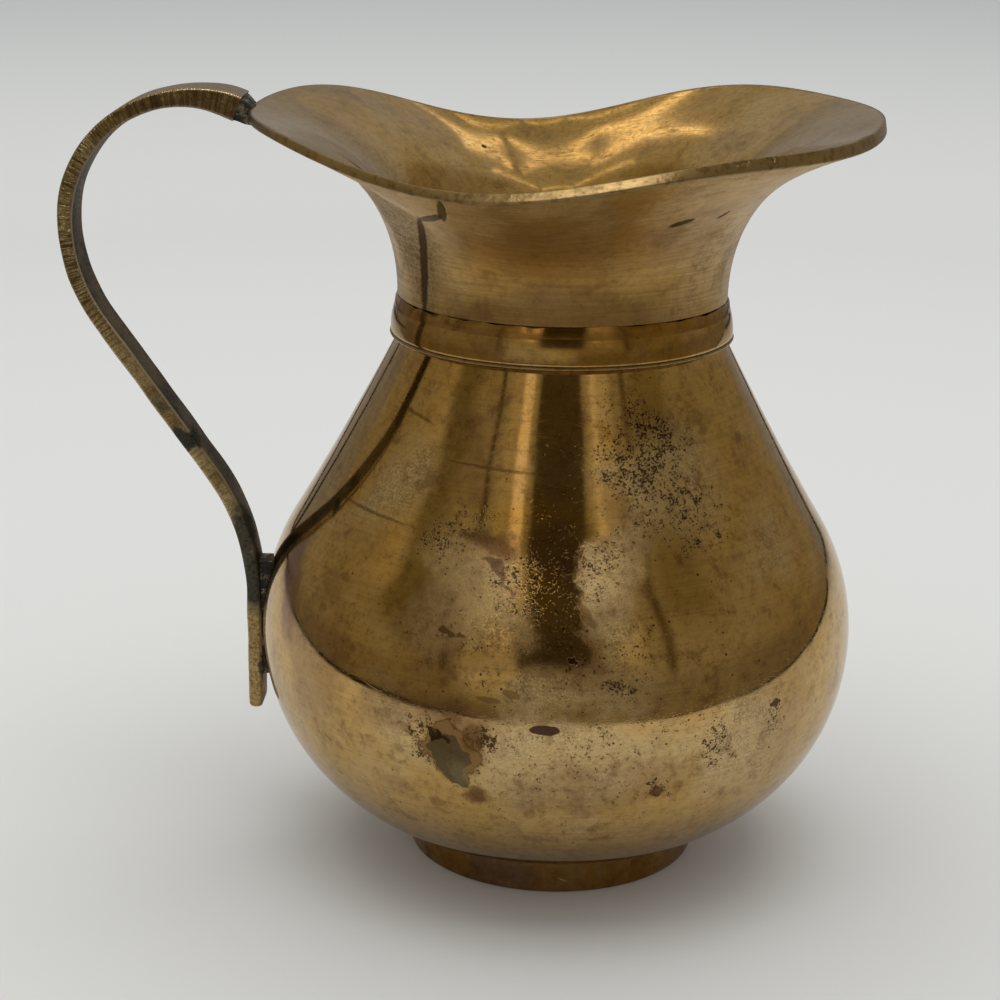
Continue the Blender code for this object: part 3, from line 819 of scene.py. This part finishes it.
band_brass = brass(
    "brass of the collar", clear="B48E48", seed=12.0, roughness=0.09, turning=0.004,
    haze=0.3, film=0.5, filed=True,
)
bead = arc(
    Vector((BAND_RADIUS + BEAD_PROUD - BAND_BEAD / 2, BAND_Z + BAND_BEAD / 2)),
    BAND_BEAD / 2, -math.pi / 2, math.pi / 2, 8,
)
face = []
for i in range(1, 17):
    t = i / 16
    face.append((
        BAND_RADIUS - BAND_TAPER * t * t,
        BAND_Z + BAND_BEAD + (BAND_HEIGHT - BAND_BEAD) * t,
    ))
bm = bmesh.new()
spin_round(
    bm, bead + face + [(COLLAR_BORE, BAND_TOP_Z), (COLLAR_BORE, BAND_Z)], AROUND, closed=True,
)
rubbed = bm.verts.layers.float.new("filed")
for vert in bm.verts:
    vert[rubbed] = 1.0 if vert.co.z < BAND_Z + BAND_BEAD * 1.05 else 0.0
uneven(bm, depth=0.05, size=9.0, seed=5.0)
finish_piece("collar", bm, band_brass, ["neck_band"])

NECK_BRAZE_TOP_Z = BAND_TOP_Z + 1.5
slope = [
    (COLLAR_BORE, BAND_TOP_Z - 0.05),
    (BAND_RADIUS - BAND_TAPER - 0.02, BAND_TOP_Z - 0.05),
    (BAND_RADIUS - BAND_TAPER - 0.1, BAND_TOP_Z + 0.25),
    (NECK_RADIUS + 0.3, NECK_BRAZE_TOP_Z - 0.4),
    (NECK_RADIUS + 0.05, NECK_BRAZE_TOP_Z + 0.15),
    (COLLAR_BORE, NECK_BRAZE_TOP_Z + 0.15),
]
bm = bmesh.new()
spin_round(bm, slope, AROUND, closed=True)
for vert in bm.verts:
    if vert.co.z > BAND_TOP_Z + 0.5:
        vert.co.z += 0.35 * noise.noise(Vector((vert.co.x, vert.co.y, 0.0)) / 2.4)
finish_piece("collar_braze", bm, foot_brass, ["neck_braze"])

# Throat
# A flared mouth cast with the neck, its round rim bent by hand into a saddle with a
# spout in front. The rim is left thick at the spout and hammered thinner at the back.

RIM_RADIUS = 44.7
RIM_Z = BAND_TOP_Z + 26.6
RIM_WAVES = (1.8, 1.9, 0.9, -4.7, -2.6, 1.9, 1.3, 0.7, -2.8, -2.8, 0.3, 0.8)
LIP_WALL_SPOUT = 1.9
LIP_WALL_BACK = 1.2
THROAT_FOOT_Z = 81.3
THROAT_SHOULDER_Z = 85.2
FLARE_STEPS = 44
LIP_ROUND = 0.28
LIP_STEPS = 4
# rows of the outline: two at the seat, then the outside, then the lip's edge
LIP_FIRST_ROW = 2 + FLARE_STEPS
LIP_LAST_ROW = LIP_FIRST_ROW + 2 * LIP_STEPS + 1


def rim_height(angle):
    """Height of the rim's inner edge: the smooth wave through the twelve stations."""
    count = len(RIM_WAVES)
    height = RIM_Z + sum(RIM_WAVES) / count
    for k in range(1, count // 2 + 1):
        share = (1.0 if 2 * k == count else 2.0) / count
        for i, station in enumerate(RIM_WAVES):
            height += share * station * math.cos(k * (angle - math.tau * i / count))
    return height


def sides_to_ends(angle, sides, ends):
    """A value that swings from the sides of the mouth to its spout and back."""
    return sides + (ends - sides) * (0.5 + 0.5 * math.cos(2 * angle))


def lip_wall(angle):
    """Thickness of the rim, full at the spout and thinned towards the handle."""
    return LIP_WALL_BACK + (LIP_WALL_SPOUT - LIP_WALL_BACK) * (0.5 + 0.5 * math.cos(angle))


def throat_outline(angle):
    """Closed outline of the throat's wall in one direction: foot, outside, lip, inside."""
    lip = sides_to_ends(angle, math.radians(40.0), math.radians(9.0))
    rise = sides_to_ends(angle, 11.5, 15.5)
    reach = sides_to_ends(angle, 11.0, 10.0)
    along = direction(lip)
    square = Vector((-along[1], along[0]))
    inner_edge = Vector((RIM_RADIUS, rim_height(angle)))
    edge = inner_edge - lip_wall(angle) * square
    start = Vector((NECK_RADIUS, THROAT_SHOULDER_Z))
    handles = (start, start + Vector((0.0, rise)), edge - reach * along, edge)
    outside = []
    inside = []
    for i in range(FLARE_STEPS + 1):
        t = i / FLARE_STEPS
        weights = ((1 - t) ** 3, 3 * t * (1 - t) ** 2, 3 * t * t * (1 - t), t ** 3)
        point = sum((w * h for w, h in zip(weights, handles)), Vector((0.0, 0.0)))
        slopes = (-((1 - t) ** 2), (1 - t) * (1 - 3 * t), t * (2 - 3 * t), t * t)
        heading = sum((w * h for w, h in zip(slopes, handles)), Vector((0.0, 0.0)))
        heading.normalize()
        wall = WALL + (lip_wall(angle) - WALL) * t
        outside.append(point)
        inside.append(point + wall * Vector((-heading[1], heading[0])))
    lower = outside[-1] - LIP_ROUND * along
    upper = inside[-1] - LIP_ROUND * along
    rounded = []
    for turn in quarter(LIP_STEPS):
        eased = math.sin(turn) * along + (1 - math.cos(turn)) * square
        rounded.append(lower + LIP_ROUND * eased)
    for turn in quarter(LIP_STEPS)[::-1]:
        eased = math.sin(turn) * along - (1 - math.cos(turn)) * square
        rounded.append(upper + LIP_ROUND * eased)
    seat = [Vector((SEAT_RADIUS, THROAT_FOOT_Z)), Vector((SEAT_RADIUS, THROAT_SHOULDER_Z))]
    foot = [Vector((BORE_RADIUS, THROAT_FOOT_Z))]
    return seat + outside[:-1] + rounded + inside[-2::-1] + foot


# softness, colour, amount, depth and dullness of the painted reflection of the card's dark
# edge, and of its slits, nicks and dark dent
CARD_EDGE_REFLECTION = (0.3, "2A1C0C", 0.95, 0.06, 0.1)
SLIT = (0.3, "1C1209", 0.95, 0.1, 0.2)
NICK = (0.4, "1C1209", 0.9, 0.1, 0.2)
DENT = (0.4, "2A2A26", 0.9, 0.1, 0.1)

throat_brass = brass(
    "old polished brass of the throat", clear="CAA662", seed=21.0, roughness=0.07,
    turning=0.0016, haze=0.45, film=0.55, brushed=True, filed=True,
    films=(
        ((0, -24, 86.5), (26, 20, 5), 0.6),
        ((16, -23, 99), (8, 12, 9), 0.5),
    ),
    hazes=(
        ((-22, -18, 95), (8, 14, 14), 0.85),
        ((22, -14, 94), (6, 14, 14), 0.2),
        ((4, 32, 104), (30, 26, 20), -0.5),
    ),
    marks=(
        # painted reflection: a dark jagged line where the neck mirrors the card's cut edge
        ("smooth", (-19.1, -22, 91.4), (0.75, 14, 12.4), *CARD_EDGE_REFLECTION),
        ("smooth", (-17.3, -32.5, 101), (3.6, 10, 0.75), *CARD_EDGE_REFLECTION, (0, -0.6, 0)),
        ("smooth", (-15.4, -38, 103.2), (0.7, 8, 3), *CARD_EDGE_REFLECTION),
        ("smooth", (15.4, -28.9, 100.5), (2.2, 3, 0.5), *SLIT, (0, -0.2, 0.55)),
        ("smooth", (21.1, -23.6, 100.8), (1.1, 3, 0.4), *SLIT, (0, -0.5, 0.8)),
        ("smooth", (-12.8, 34.3, 101.4), (0.5, 0.5, 0.5), *SLIT),
        ("ragged", (21.8, -39.1, 110), (1.6, 0.9, 0.5), *NICK, (0, 0, 0.5)),
        ("ragged", (25.8, -36.6, 110.3), (0.9, 0.7, 0.4), *NICK, (0, 0, 0.7)),
        ("ragged", (40.5, -19.5, 110.2), (3.4, 1.6, 1.4), *DENT, (0, 0, 1.1)),
    ),
)
points = len(throat_outline(0.0))
bm = bmesh.new()
spin_round(bm, [(RIM_RADIUS, float(i)) for i in range(points)], AROUND, closed=True)
filed = bm.verts.layers.float.new("filed")
brushed = bm.verts.layers.float.new("brushed")
outlines = {}
for vert in bm.verts:
    angle = math.atan2(vert.co.y, vert.co.x)
    key = round(angle, 5)
    if key not in outlines:
        outlines[key] = throat_outline(angle)
    row = round(vert.co.z)
    vert[filed] = 1.0 if LIP_FIRST_ROW <= row <= LIP_LAST_ROW else 0.0
    vert[brushed] = 1.0 if row < LIP_FIRST_ROW else 0.0
    r, z = outlines[key][row]
    vert.co = (r * math.cos(angle), r * math.sin(angle), z)
face_outwards(bm)
uneven(bm, depth=0.03, size=15.0, seed=8.0)
for vert in bm.verts:
    vert.co.x = min(vert.co.x, cad_box[1].x * 1000 - AXIS_X * 1000)
    vert.co.y = max(cad_box[0].y * 1000, min(cad_box[1].y * 1000, vert.co.y))
finish_piece("throat_and_mouth", bm, throat_brass, ["throat"])

# Handle
# A flat brass bar bent cold over the top, filed across and left rough, so it has gone
# dark. Its root butts against the lip and its tail is laid on the belly.

HANDLE_OVERHANG = 25.2
HANDLE_CREST_RISE = 1.3
HANDLE_BEND = 18.2
HANDLE_SIDE_BEND = 25.0
HANDLE_LOWER_BEND = 34.0
HANDLE_TAIL_DROP = 14.6
HANDLE_ROOT_GAP = 1.4
HANDLE_LOWER_RISE = 3.65
HANDLE_STANDOFF = 0.3
BAR_THICKNESS = 2.3
BAR_TAIL_THICKNESS = 2.1
BAR_ROOT_THICKNESS = 3.7
BAR_ROOT_LENGTH = 7.0
BAR_ROOT_WIDTH = 8.0
BAR_TAIL_WIDTH = 5.6
BAR_EDGE = 0.45
TAIL_ROUND = 0.9
TAIL_X = -(BELLY_RADIUS + HANDLE_STANDOFF + BAR_TAIL_THICKNESS / 2)
TAIL_Z = BELLY_WIDEST_Z - HANDLE_TAIL_DROP
LOWER_BEND_CENTRE = Vector((TAIL_X - HANDLE_LOWER_BEND, BELLY_WIDEST_Z + HANDLE_LOWER_RISE))

lip_edge = throat_outline(math.pi)[LIP_FIRST_ROW]
LIP_BACK_X = -(lip_edge[0] + LIP_ROUND)
ROOT_X = LIP_BACK_X - HANDLE_ROOT_GAP


def bend_centre(radius):
    """Centre of a bend that starts at the handle's farthest reach from the jug."""
    crest_z = rim_height(math.pi) + HANDLE_CREST_RISE
    return Vector((ROOT_X - HANDLE_OVERHANG + radius, crest_z - HANDLE_BEND))


def bend(centre, radius, start, end, steps):
    """Part of the handle's path round a bend, from one angle to another."""
    sides = [direction(start + (end - start) * i / steps) for i in range(steps + 1)]
    return [(centre + radius * side, side, 0.0) for side in sides]


def handle_path():
    """Centre line of the bar: each point, its outward side, and how far the end is drawn in."""
    top = bend_centre(HANDLE_BEND)
    side = bend_centre(HANDLE_SIDE_BEND)
    between = LOWER_BEND_CENTRE - side
    heading = math.atan2(between[1], between[0])
    slant = heading + math.acos(-(HANDLE_SIDE_BEND + HANDLE_LOWER_BEND) / between.length)
    root_angle = math.acos((ROOT_X - top[0]) / HANDLE_BEND)
    path = bend(top, HANDLE_BEND, root_angle, math.pi, 60)
    path += bend(side, HANDLE_SIDE_BEND, math.pi, math.pi + slant, 24)[1:]
    lower = bend(LOWER_BEND_CENTRE, -HANDLE_LOWER_BEND, math.pi + slant, math.pi, 32)
    start, square, _ = path[-1]
    path += [(start.lerp(lower[0][0], i / 40), square, 0.0) for i in range(1, 40)]
    path += lower
    left = Vector((-1.0, 0.0))
    for i in range(1, 20):
        z = LOWER_BEND_CENTRE[1] + (TAIL_Z + TAIL_ROUND - LOWER_BEND_CENTRE[1]) * i / 20
        path.append((Vector((TAIL_X, z)), left, 0.0))
    for turn in quarter(6):
        z = TAIL_Z + TAIL_ROUND * (1 - math.sin(turn))
        path.append((Vector((TAIL_X, z)), left, TAIL_ROUND * (1 - math.cos(turn))))
    return path


def bar_section(centre, out, thickness, width):
    """Flat bar section with eased edges, square to the path, as points and their sides."""
    edge = min(BAR_EDGE, 0.45 * thickness)
    flat_t = thickness / 2 - edge
    flat_w = width / 2 - edge
    points = []
    for along, across in ((1, 1), (-1, 1), (-1, -1), (1, -1)):
        for turn in quarter(3)[::along * across]:
            u = flat_t + edge * math.cos(turn)
            v = flat_w + edge * math.sin(turn)
            points.append((along * u, across * v))
    return [(centre[0] + out[0] * u, v, centre[1] + out[1] * u) for u, v in points]


path = handle_path()
lengths = [0.0]
for before, after in zip(path, path[1:]):
    lengths.append(lengths[-1] + (after[0] - before[0]).length)
BAR_LENGTH = lengths[-1]
FILED_LENGTH = 62.0
TAIL_LENGTH = 17.0

patina, tree, shader = new_material("bronzed patina over filed brass")
mm = in_millimetres(tree)
bar_place = add(tree, "Attribute", {}, attribute_name="bar").outputs["Vector"]
split = add(tree, "SeparateXYZ", {0: bar_place})
length_on = split.outputs["X"]
side = ramp(work_out("ABSOLUTE", split.outputs["Y"]), 0.84, 0.94)
inner = ramp(split.outputs["Z"], -0.70, -0.95)
outer = ramp(split.outputs["Z"], 0.70, 0.95)
ragged = grain(mm, 1.1, 4.0, 31.0, 0.6)
torn = shifted(mm, grain(mm, 4.0, 2.0, 33.0), 4.0)
torn = shifted(torn, ragged, 2.0)
broad = ramp(grain(mm, 5.0, 6.0, 34.0, 0.65)["Fac"], 0.42, 0.60)
fine = ramp(grain(mm, 0.5, 5.0, 35.0, 0.7)["Fac"], 0.46, 0.64)
colour = blend(broad, "C4B288", "988660")
colour = blend(fine, colour, "483C26", 0.55)

# coarse cross file marks, about 0.7 mm apart and slanted, thickest over the top bend
coarse = ramp(length_on, FILED_LENGTH * 0.7, FILED_LENGTH, 1.0, 0.25)
filing = None
for turn, seed in ((0.75, 1.0), (-0.9, 2.0)):
    slanted = add(tree, "Mapping", {
        0: bar_place, "Rotation": (0.0, turn, 0.0), "Scale": (2.3, 0.0, 0.2),
    }).outputs[0]
    strokes = ramp(grain(slanted, 1.0, 2.0, seed, 0.6)["Fac"], 0.48, 0.60)
    strokes = product(product(strokes, coarse), side)
    colour = blend(strokes, colour, "2E2010", 0.5)
    filing = strokes if filing is None else work_out("MAXIMUM", filing, strokes)
height = product(filing, -0.05)
height = raised(height, fine, -0.015)

# the bar is darker at its root, where the heat of brazing browned it
root = ramp(length_on, 26.0, 8.0, 0.0, 0.55)
colour = blend(root, colour, "5A4430")

# the outer face is paler, the inner face, turned to the belly, is painted dark as its
# shade, the tail is yellow
colour = blend(outer, colour, "A89A80", 0.7)
dark = blend(broad, "443828", "17110A")
colour = blend(inner, colour, dark, 0.92)
tail = ramp(length_on, BAR_LENGTH - TAIL_LENGTH - 4, BAR_LENGTH - TAIL_LENGTH + 4)
tail_tone = blend(fine, "AC9464", "8A7040")
colour = blend(tail, colour, tail_tone, 0.75)
edges = product(side, work_out("MAXIMUM", inner, outer))
colour = blend(edges, colour, "B4A68C", 0.7)
rough = raised(0.24, fine, 0.2)

# black-green verdigris in bands across the bar and down to the belly joint
crust = None
for centre, size, soft, amount, *turn in (
    ((-55, -3.3, 62.6), (3, 6, 1.7), 0.4, 1, (0, 0.5, 0)),
    ((-58, -3.3, 67.6), (2.2, 6, 0.8), 0.6, 0.7, (0, 0.5, 0)),
    ((-47, -3.1, 47), (3.2, 6, 8), 0.5, 0.9, (0, 0.2, 0)),
    ((-45, -2.8, 41), (3.2, 6, 7), 0.5, 0.95),
    ((-42.5, -1, 111), (2.6, 9, 2.6), 0.5, 0.8),
    ((-44, -2.5, 27.3), (0.5, 2, 3.4), 0.5, 0.8),
):
    band = product(oval(torn, centre, size, soft, *turn), amount)
    crust = band if crust is None else work_out("MAXIMUM", crust, band)
green = blend(fine, "2C2E20", "0E0D07")
colour = blend(crust, colour, green)
rough = raised(rough, crust, 0.25)
rough = raised(rough, inner, 0.2)
oxide = product(inner, ramp(broad, 0.0, 1.0, 0.75, 1.0))
covered = work_out("MAXIMUM", crust, oxide)
bare = raised(1.0, covered, -0.9)
dull = raised(0.5, inner, -0.35)
fill(shader, {"Specular IOR Level": dull})
fill_metal(shader, colour, bare, rough, height)

bm = bmesh.new()
bar = bm.verts.layers.float_vector.new("bar")
loops = []
for (centre, out, inset), length in zip(path, lengths):
    share = length / lengths[-1]
    plain = BAR_THICKNESS + (BAR_TAIL_THICKNESS - BAR_THICKNESS) * share
    swell = (BAR_ROOT_THICKNESS - BAR_THICKNESS) * math.exp(-(length / BAR_ROOT_LENGTH) ** 2)
    width = BAR_ROOT_WIDTH + (BAR_TAIL_WIDTH - BAR_ROOT_WIDTH) * share
    verts = []
    for point in bar_section(centre, out, plain + swell - 2 * inset, width - 2 * inset):
        vert = bm.verts.new(point)
        across = (Vector((point[0], point[2])) - centre).dot(out)
        vert[bar] = (length, point[1] / (width / 2), across / (plain + swell) * 2)
        verts.append(vert)
    loops.append([bm.edges.new(pair) for pair in zip(verts, verts[1:] + verts[:1])])
for first, second in zip(loops, loops[1:]):
    bmesh.ops.bridge_loops(bm, edges=first + second)
for loop in (loops[0], loops[-1]):
    bmesh.ops.contextual_create(bm, geom=loop)
face_outwards(bm)
uneven(bm, depth=0.12, size=5.0, seed=2.0)
for vert in bm.verts:
    vert.co.x = max(vert.co.x, cad_box[0].x * 1000 - AXIS_X * 1000)
    vert.co.z = min(vert.co.z, cad_box[1].z * 1000)
finish_piece("handle_bar", bm, patina, ["handle"])

# Brazing at the handle
# Grey brazing metal run in between bar and lip, and in the two wedges between bar and
# belly. It is lumpy, pitted, and stained black-green where damp has sat in the joint.


def braze_finish(name, bare_share):
    """Lumpy grey brazing metal under a black-green crust that leaves bare_share of it open."""
    material, tree, shader = new_material(name)
    mm = in_millimetres(tree)
    lumps = grain(mm, 1.4, 7.0, 41.0, 0.72)["Fac"]
    edge = 0.42 + 0.2 * bare_share
    crust = ramp(lumps, edge - 0.05, edge + 0.05)
    fine = ramp(grain(mm, 0.35, 5.0, 42.0, 0.7)["Fac"], 0.4, 0.62)
    metal_tone = blend(fine, "A8A092", "5A5044")
    crust_tone = blend(fine, "222419", "0B0B07")
    colour = blend(crust, metal_tone, crust_tone)
    bare = raised(0.9, crust, -0.9)
    rough = raised(0.3, crust, 0.3)
    height = product(lumps, 0.15)
    height = raised(height, fine, 0.02)
    fill_metal(shader, colour, bare, rough, height)
    return material


lip_braze_metal = braze_finish("grey brazing metal, partly crusted", 0.15)
joint_braze_metal = braze_finish("brazing metal under black verdigris", 0.05)

root_centre = path[0][0]
rim_top = lip_edge[1] + LIP_WALL_BACK
LIP_SECTIONS = (
    # how far along from the bar to the lip, x, middle height, half height, half width
    (0.0, ROOT_X - 0.7, root_centre[1] + 0.15, 1.75, 3.85),
    (0.35, ROOT_X + 0.3, root_centre[1] - 0.15, 1.75, 3.8),
    (0.7, LIP_BACK_X - 0.1, rim_top - 0.75, 1.55, 3.6),
    (1.0, LIP_BACK_X + 1.6, rim_top - 1.75, 0.75, 3.0),
)


def lip_section(share):
    """The joint's size at a share of the way from the bar to the lip."""
    for before, after in zip(LIP_SECTIONS, LIP_SECTIONS[1:]):
        if share <= after[0]:
            t = (share - before[0]) / (after[0] - before[0])
            return [a + (b - a) * t for a, b in zip(before[1:], after[1:])]
    return LIP_SECTIONS[-1][1:]


bm = bmesh.new()
bmesh.ops.create_cube(bm, size=2.0)
bmesh.ops.subdivide_edges(bm, edges=bm.edges, cuts=11, use_grid_fill=True)
for vert in bm.verts:
    x, middle, half_height, half_width = lip_section((vert.co.x + 1) / 2)
    vert.co = (x, vert.co.y * half_width, middle + vert.co.z * half_height)
for _ in range(3):
    bmesh.ops.smooth_vert(
        bm, verts=bm.verts, factor=0.5, use_axis_x=True, use_axis_y=True, use_axis_z=True,
    )
face_outwards(bm)
uneven(bm, depth=0.25, size=1.6, seed=4.0)
finish_piece("braze_at_lip", bm, lip_braze_metal, ["lip_braze"])

WEDGE_WIDTH = 5.0
WEDGE_OVERLAP = 0.12


def wedge(name, top_z, bottom_z, node):
    """Brazing metal that fills the room between belly and bar over a range of heights."""
    half = WEDGE_WIDTH / 2
    belly_face = []
    bar_face = []
    for i in range(17):
        z = bottom_z + (top_z - bottom_z) * i / 16
        arc_radius = LOWER_ARC if z < BELLY_WIDEST_Z else UPPER_ARC
        bowl = BELLY_RADIUS - arc_radius + math.sqrt(arc_radius ** 2 - (z - BELLY_WIDEST_Z) ** 2)
        belly_face.append((-bowl + WEDGE_OVERLAP, z))
        inside = TAIL_X + BAR_TAIL_THICKNESS / 2
        if z > LOWER_BEND_CENTRE[1]:
            inside = LOWER_BEND_CENTRE[0] + math.sqrt(
                (HANDLE_LOWER_BEND + BAR_TAIL_THICKNESS / 2) ** 2
                - (z - LOWER_BEND_CENTRE[1]) ** 2
            )
        bar_face.append((inside - WEDGE_OVERLAP, z))
    bm = bmesh.new()
    verts = [bm.verts.new((x, -half, z)) for x, z in belly_face + bar_face[::-1]]
    side = bm.faces.new(verts)
    grown = bmesh.ops.extrude_face_region(bm, geom=[side])["geom"]
    moved = [item for item in grown if isinstance(item, bmesh.types.BMVert)]
    bmesh.ops.translate(bm, vec=(0.0, WEDGE_WIDTH, 0.0), verts=moved)
    long_edges = [e for e in bm.edges if abs(e.verts[0].co.y - e.verts[1].co.y) > 1.0]
    bmesh.ops.subdivide_edges(bm, edges=long_edges, cuts=8, use_grid_fill=True)
    # both ends are drawn in, and ragged between their edges
    for vert in bm.verts:
        pinch = 1 - (abs(vert.co.y) / half) ** 4
        ragged = noise.noise(Vector((vert.co.y, vert.co.z, 3.0)) / 1.3)
        from_middle = abs(vert.co.z - (top_z + bottom_z) / 2) / (top_z - bottom_z) * 2
        end = max(0.0, from_middle - 0.7)
        vert.co.y *= 1 - 0.5 * end
        vert.co.z += 0.5 * ragged * pinch * end
    finish_piece(name, bm, joint_braze_metal, [node])


wedge("braze_above_belly_joint", 43.6, 34.6, "belly_braze_upper")
wedge("braze_below_belly_joint", 34.4, 25.8, "belly_braze_lower")
